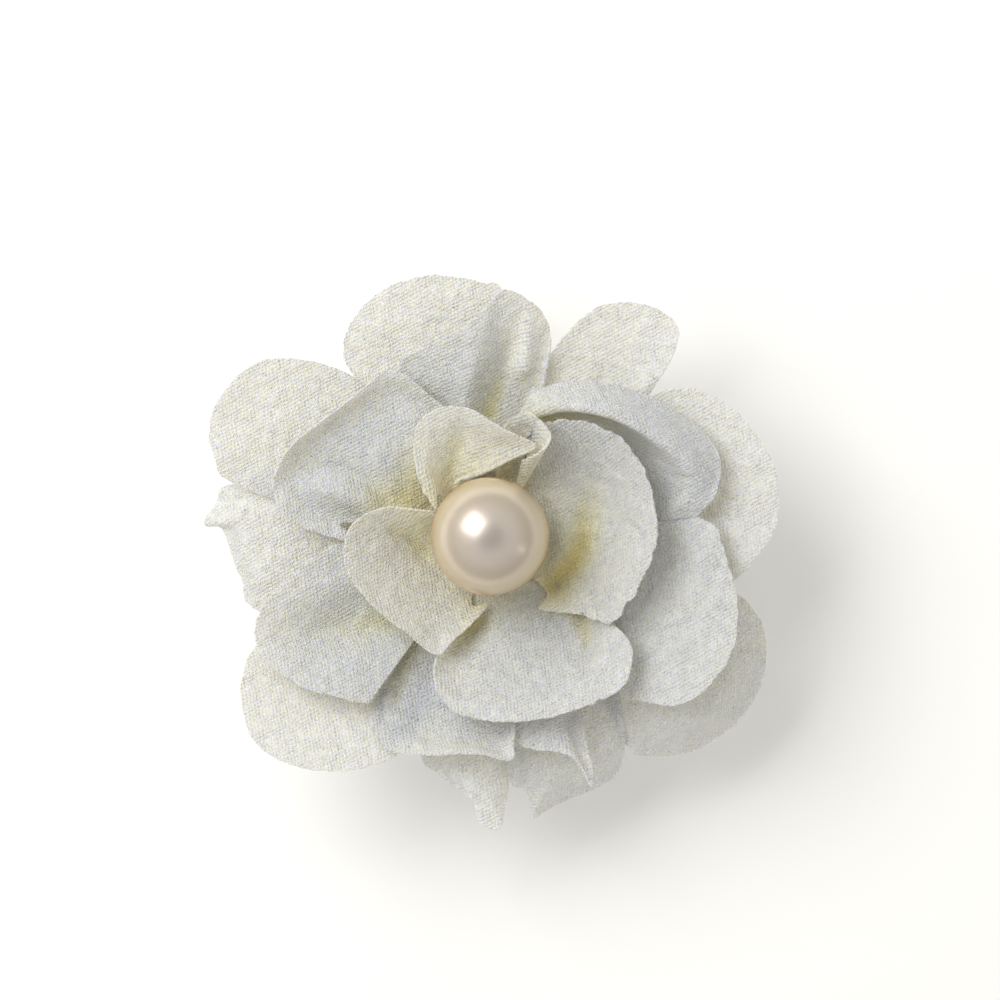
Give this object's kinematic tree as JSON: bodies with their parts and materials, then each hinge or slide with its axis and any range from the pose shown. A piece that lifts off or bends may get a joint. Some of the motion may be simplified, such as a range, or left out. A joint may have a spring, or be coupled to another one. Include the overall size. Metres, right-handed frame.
{
  "type": "flower hair clip",
  "caption": "Layered satin flower with a faux-pearl centre on a sprung alligator hair clip that opens when its finger tails are squeezed.",
  "frame": {"origin": "on the pearl's axis, at the flat back of the lower jaw", "axes": "+Z out of the flower's face along the pearl's axis, +X along the clip from the jaw tips to the finger tails, +Y up the flower's face"},
  "size_m": [0.0683, 0.0658, 0.033],
  "materials": {
    "satin": "crepe-back satin, matt side with a fine sparkle",
    "pearl_coat": "pearlescent lacquer",
    "thread": "spun polyester",
    "hot_glue": "set hot-melt glue",
    "felt": "wool-blend felt",
    "nickel_plate": "nickel-plated stamped steel",
    "spring_steel": "drawn spring wire"
  },
  "bodies": {
    "flower": {"petal_layer_bottom": "satin", "petal_layer_lower": "satin", "petal_layer_middle": "satin", "petal_layer_inner": "satin", "pearl_bead": "pearl_coat", "pearl_shank": "nickel_plate", "sewing_thread": "thread", "flower_glue": "hot_glue", "felt_disc": "felt", "clip_glue": "hot_glue", "clip_upper_arm": "nickel_plate", "hinge_pin": "nickel_plate", "hinge_spring": "spring_steel"},
    "lower_jaw": {"clip_lower_jaw": "nickel_plate"}
  },
  "joints": [
    {"name": "jaw_hinge", "type": "hinge", "parent": "flower", "child": "lower_jaw", "pos_m": [0.011, 0, 0.0003], "axis": [0, -1, 0], "range_deg": [0, 30], "stiffness_Nm_per_rad": 0.1, "springref_deg": -28.65, "deforming": ["hinge_spring"]}
  ]
}
